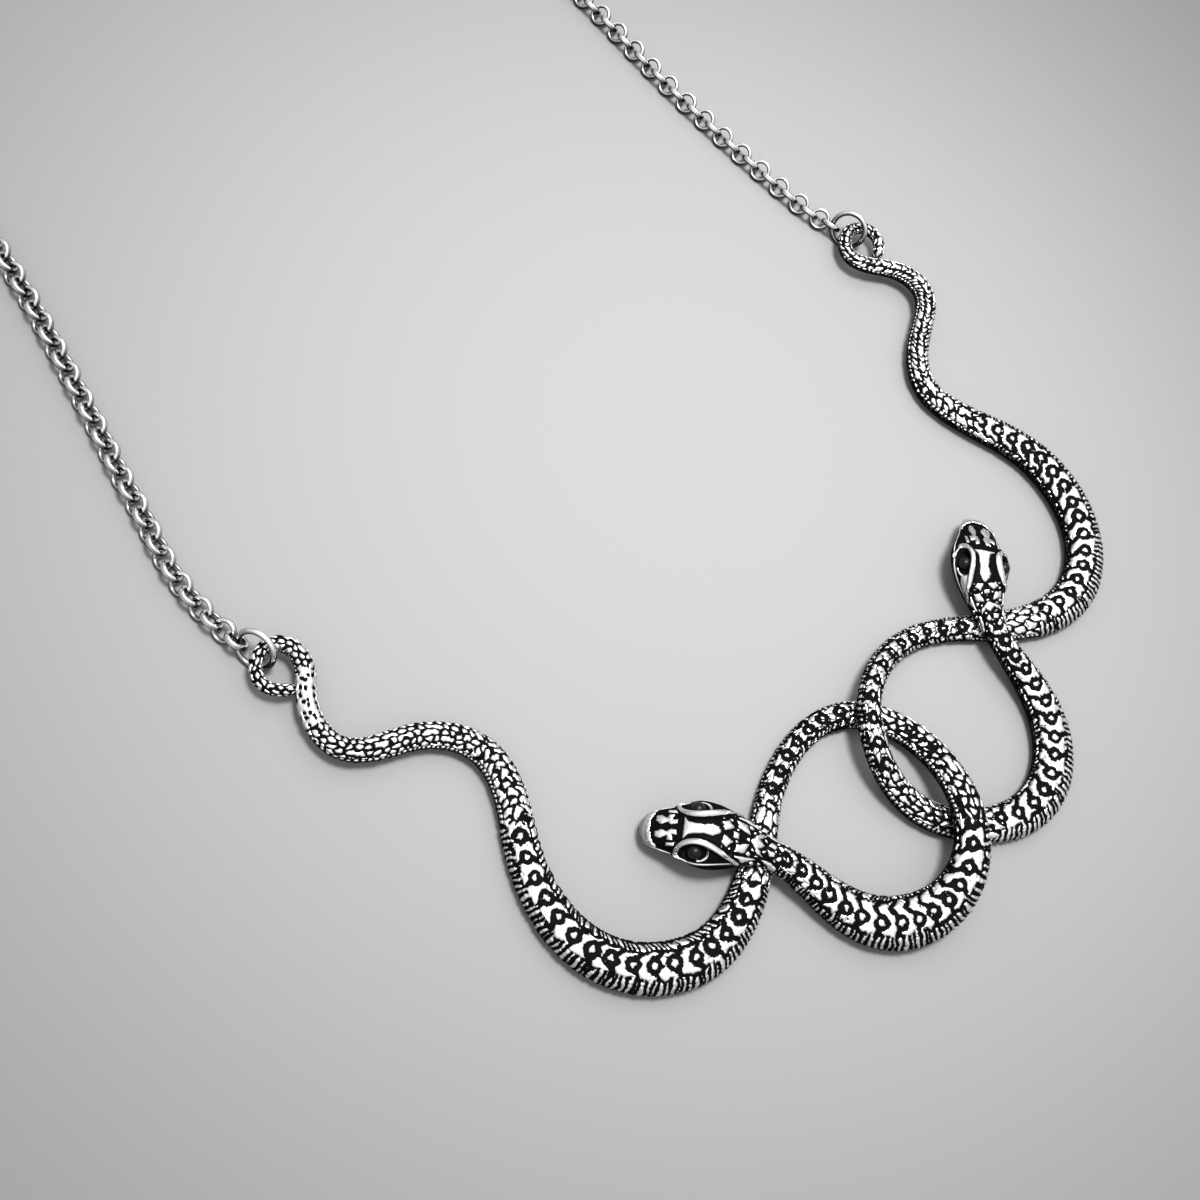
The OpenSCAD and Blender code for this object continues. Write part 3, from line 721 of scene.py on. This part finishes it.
# the lid behind the eye: how far back its middle lies and where it starts, its radius and half its
# width
LID_BACK, LID_START, LID_RADIUS, LID_HALF = 0.25, 0.3, 0.86, 0.055


def head_form(name, body, s, v):
    """Polish and height of a head, in mm."""
    wall = np.abs(v) - LIP_START * body.flank(s[:, 0])
    d, v = on_face(name, body.length - s, v)
    d2 = d + RAGGED * wander(d, v, 0.7, 41) + RAGGED * wander(d, v, 0.3, 43)
    v2 = np.abs(v + RAGGED * wander(d, v, 0.7, 42))
    inside = np.full(d.shape, -0.3)
    for corners in PLATES:
        inside = np.maximum(inside, inside_plate(d2, v2, corners))
    for corners in CENTRE_PLATES:
        inside = np.maximum(inside, inside_plate(d2, v2 * np.sign(v), corners))
    cut = np.where(d > CROWN_START, CROWN_CUT, np.where(d < SNOUT_END, SNOUT_CUT, BROW_CUT))
    inside = inside - cut

    # small scales fill the gaps between the plates of the crown
    fill = np.minimum(plain_scales(d2, v2, 0, LARGE_LOTS, CROWN_SCALES), -inside - 0.20)
    fill = np.where((d > CROWN_SCALES_START) & (np.abs(v) < CROWN_HALF), fill, -0.1)
    inside = np.maximum(inside, fill)

    # the rim of the nose, and a thin lip along the snout's wall
    rim = NOSE_RIM_HALF - np.abs(d2 - NOSE_RIM - NOSE_RIM_BEND * v2 ** 2)
    inside = np.maximum(inside, np.minimum(rim, NOSE_RIM_END - d2) - 0.08)
    lip = LIP_HALF - np.abs(wall - LIP_MIDDLE)
    inside = np.where((wall > 0) & (d < LIP_END), lip, inside)
    height = relief(inside) * HEAD_DEPTH

    # brow, rim, cheek, socket and lid of the eyes
    away = np.abs(v)
    gap, half, tall = along_ridge(d, away, BROW)
    inside = np.maximum(np.where(gap < half + BROW_LINE, -0.1, inside), half - gap)
    height = np.maximum(height, height + tall * (1 - step_up(gap, half * 0.35, half + BROW_SLOPE)))
    low_gap, low_half, low_tall = along_ridge(d, away, LOWER_RIM)
    inside = np.maximum(inside, low_half - low_gap)
    height = height + low_tall * (1 - step_up(low_gap, low_half * 0.3, low_half + LOWER_SLOPE))
    if name == "right":
        inside = np.maximum(inside, inside_plate(d2, v, CHEEK))
    socket = np.hypot((d - EYE[0]) / SOCKET_LONG, (away - EYE[1]) / SOCKET_WIDE)
    height = height - SOCKET_DEPTH * (1 - step_up(socket, 0.75, 1.05))
    lid = LID_HALF - np.abs(np.hypot(d - EYE[0] - LID_BACK, away - EYE[1]) - LID_RADIUS)
    inside = np.maximum(inside, np.where(d > EYE[0] + LID_START, lid, -1))
    return inside, height


HEAD_STEP = 0.065
HEAD_TOP = np.linspace(-30, 210, 181)
HEAD_UNDER = np.linspace(210, 330, 14)[1:-1]
HEAD_ROUND = np.concatenate([HEAD_TOP, HEAD_UNDER])
# where the head's plates give way to the neck's scales, where the mesh ends, both from the nose,
# and how far the throat lies under the skin
PLATES_END, NOSE_GAP, THROAT = 13.4, 0.02, -0.1
for name, body in bodies.items():
    s = np.linspace(body.length - NECK_END, body.length - NOSE_GAP, int(NECK_END / HEAD_STEP) + 1)
    v = body.across(s, HEAD_ROUND)
    s_all = np.repeat(s[:, None], v.shape[1], axis=1)
    neck_scales = body_scales(name, body, s_all, v)
    plates, height = head_form(name, body, s_all, v)
    on_head = body.length - s_all < PLATES_END
    inside = np.where(on_head, plates, neck_scales)
    grow = np.where(on_head, height, relief(neck_scales))
    grow[:, len(HEAD_TOP):] = THROAT
    inside[:, len(HEAD_TOP):] = UNDERSIDE
    piece = sheet_mesh(f"snake_{name}_head", body.skin(s, HEAD_ROUND, grow), rubbed(inside))
    piece.data.materials.append(snake_silver)
    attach(piece, "root")
    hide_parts(f"snake_{name}")

# Eyes
# Each eye is a plain round dome cast in the socket under the brow, blackened and lightly
# rubbed, so that it carries a soft grey glint.
EYE_BLACK, EYE_GRAIN_SCALE = (0.005, 0.005, 0.006, 1), 2500
RUBBED_ROUGHNESS, DULL_ROUGHNESS = 0.2, 0.42
EYE_RADIUS, EYE_SUNK = 0.70, 0.52
# angles round the head among which the one nearest to an eye's place is looked up
EYE_ROUND = np.linspace(-30, 210, 481)
eye_black, tree, shader = new_material("black eye")
shader.inputs["Base Color"].default_value = EYE_BLACK
shader.inputs["Specular IOR Level"].default_value = 0.2
roughness = spread(tree, wear(tree, EYE_GRAIN_SCALE), 0, 1, RUBBED_ROUGHNESS, DULL_ROUGHNESS)
tree.links.new(roughness, shader.inputs["Roughness"])
for name, body in bodies.items():
    right_eye, _, left_eye, eye_d = FACES[name]
    for aside, word in ((left_eye, "left"), (right_eye, "right")):
        s = np.array([body.length - eye_d])
        v = body.across(s, EYE_ROUND)[0]
        angle = EYE_ROUND[np.argmin(np.abs(v - aside))]
        place = body.skin(s, np.array([angle]), -EYE_SUNK)[0, 0] * MM
        bpy.ops.object.select_all(action="DESELECT")
        bpy.ops.mesh.primitive_uv_sphere_add(segments=32, ring_count=16, radius=EYE_RADIUS * MM,
                                             location=place.tolist())
        eye = bpy.context.object
        eye.name = f"snake_{name}_{word}_eye"
        bpy.ops.object.transform_apply(location=True, rotation=True, scale=True)
        bpy.ops.object.shade_smooth()
        eye.data.materials.append(eye_black)
        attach(eye, "root")

# Jump rings, chain and clasp
# Silver wire: a round ring through each tail, a chain of round links that lean to either side by
# turns, and a plain long clasp with a small ring at the back. Handling leaves the wire a little
# uneven in tone and roughness; its sides and what lies close to the table carry painted shade.
WIRE_DULL, WIRE_BRIGHT = (0.80, 0.795, 0.79, 1), (0.97, 0.965, 0.955, 1)
# the scale of the wear, between which of its values the wire goes from dull to bright, and how
# smooth and how rough it is
HANDLING_SCALE, DULL_TO, BRIGHT_ABOVE, WIRE_ROUGHNESS = 900, 0.38, 0.62, (0.14, 0.30)
# how far the metal faces up where the painted shade on its sides is darkest and where it ends, 0 to
# 1
SIDE, TOP = 0.25, 0.8
# the share of brightness that the painted shade leaves on the sides and close to the table, and the
# heights between which the second grows to full
SIDE_SHADE_LEAVES, TABLE_SHADE_LEAVES, TABLE_SHADE_LOW, TABLE_SHADE_HIGH = 0.06, 0.35, 0.5 * MM, 1.3 * MM
bright, tree, shader = new_material("bright silver")
shader.inputs["Metallic"].default_value = 1
handling = wear(tree, HANDLING_SCALE, 4)
tone = two_tones(tree, handling, DULL_TO, WIRE_DULL, BRIGHT_ABOVE, WIRE_BRIGHT)
place = tree.nodes.new("ShaderNodeTexCoord")
level = tree.nodes.new("ShaderNodeSeparateXYZ")
tree.links.new(place.outputs["Object"], level.inputs["Vector"])
# painted shade: the wire is darkened on its sides and close to the table
dark = tree.nodes.new("ShaderNodeMath")
dark.operation = "MULTIPLY"
tree.links.new(spread(tree, level.outputs["Z"], TABLE_SHADE_LOW, TABLE_SHADE_HIGH, TABLE_SHADE_LEAVES), dark.inputs[0])
tree.links.new(facing_up(tree, SIDE, TOP, SIDE_SHADE_LEAVES), dark.inputs[1])
tree.links.new(darkened_by_painted_shade(tree, tone, dark.outputs[0]), shader.inputs["Base Color"])
tree.links.new(spread(tree, handling, 0, 1, *WIRE_ROUGHNESS), shader.inputs["Roughness"])
for node in ("jump_ring_left", "jump_ring_right", "chain_left", "chain_right", "clasp",
             "clasp_ring"):
    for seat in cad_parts[node].material_slots:
        seat.material = bright

# Table, light and camera
# The necklace lies on a plain pale grey sheet. Light comes from a large window above right, a soft
# lamp overhead that makes the middle of the sheet brightest, and a pale ceiling, which is darker
# towards the horizon and so gives the metal its shading. The camera stands as for the photograph.
TABLE_SIDE, PAPER = 6, (0.22, 0.22, 0.22, 1)
bpy.ops.object.select_all(action="DESELECT")
bpy.ops.mesh.primitive_plane_add(size=TABLE_SIDE, location=(0, 0, 0))
table = bpy.context.object
table.name = "table"
paper, _, shader = new_material("pale grey paper")
shader.inputs["Base Color"].default_value = PAPER
shader.inputs["Roughness"].default_value = 0.8
table.data.materials.append(paper)

WINDOW_PLACE, WINDOW_AIM = np.array([0.20, 0.03, 0.42]), np.array([0, -0.04, 0])
WINDOW_SIDE, WINDOW_POWER = 0.42, 1.0
light = bpy.data.lights.new("window", "AREA")
light.shape = "RECTANGLE"
light.size = light.size_y = WINDOW_SIDE
light.energy = WINDOW_POWER
window = bpy.data.objects.new("window", light)
bpy.context.scene.collection.objects.link(window)
window.location = WINDOW_PLACE
way = WINDOW_AIM - WINDOW_PLACE
window.rotation_euler = (math.atan2(math.hypot(way[0], way[1]), -way[2]), 0,
                         math.atan2(way[1], way[0]) - math.pi / 2)

LAMP_PLACE, LAMP_CONE, LAMP_RADIUS, LAMP_POWER = (0.008, -0.056, 0.35), 38, 0.05, 9.6
light = bpy.data.lights.new("lamp", "SPOT")
light.energy = LAMP_POWER
light.spot_size = math.radians(LAMP_CONE)
light.spot_blend = 1
light.shadow_soft_size = LAMP_RADIUS
lamp = bpy.data.objects.new("lamp", light)
lamp.location = LAMP_PLACE
bpy.context.scene.collection.objects.link(lamp)

# the ceiling's brightness at the horizon and high up, and from where on, if 1 is straight above
CEILING_LOW, CEILING_HIGH, CEILING_FROM = 0.28, 0.95, 0.7
world = bpy.data.worlds.new("studio")
bpy.context.scene.world = world
world.use_nodes = True
tree = world.node_tree
direction = tree.nodes.new("ShaderNodeTexCoord")
upward = tree.nodes.new("ShaderNodeSeparateXYZ")
tree.links.new(direction.outputs["Generated"], upward.inputs["Vector"])
tree.links.new(spread(tree, upward.outputs["Z"], 0, CEILING_FROM, CEILING_LOW, CEILING_HIGH),
               tree.nodes["Background"].inputs["Strength"])
tree.nodes["Background"].inputs["Color"].default_value = (1, 1, 1, 1)

# the camera's place in mm, and which ways are right, up and backwards for it
CAMERA_PLACE = (-79.59, -80.26, 133.94)
CAMERA_RIGHT, CAMERA_UP = (0.7006, -0.6629, 0.2640), (0.5596, 0.7400, 0.3731)
CAMERA_BACK = (-0.4427, -0.1136, 0.8894)
camera = bpy.data.cameras.new("camera")
camera.sensor_width = 36
camera.lens = 45
camera.clip_start = 0.001
stand = bpy.data.objects.new("camera", camera)
bpy.context.scene.collection.objects.link(stand)
stand.matrix_world = Matrix([[right, up, back, place * MM] for right, up, back, place
                             in zip(CAMERA_RIGHT, CAMERA_UP, CAMERA_BACK, CAMERA_PLACE)]
                            + [[0, 0, 0, 1]])
bpy.context.scene.camera = stand
bpy.context.scene.view_settings.view_transform = "Standard"


def plain(box):
    """A box's corners as plain lists of numbers."""
    return [[float(c) for c in corner] for corner in box]
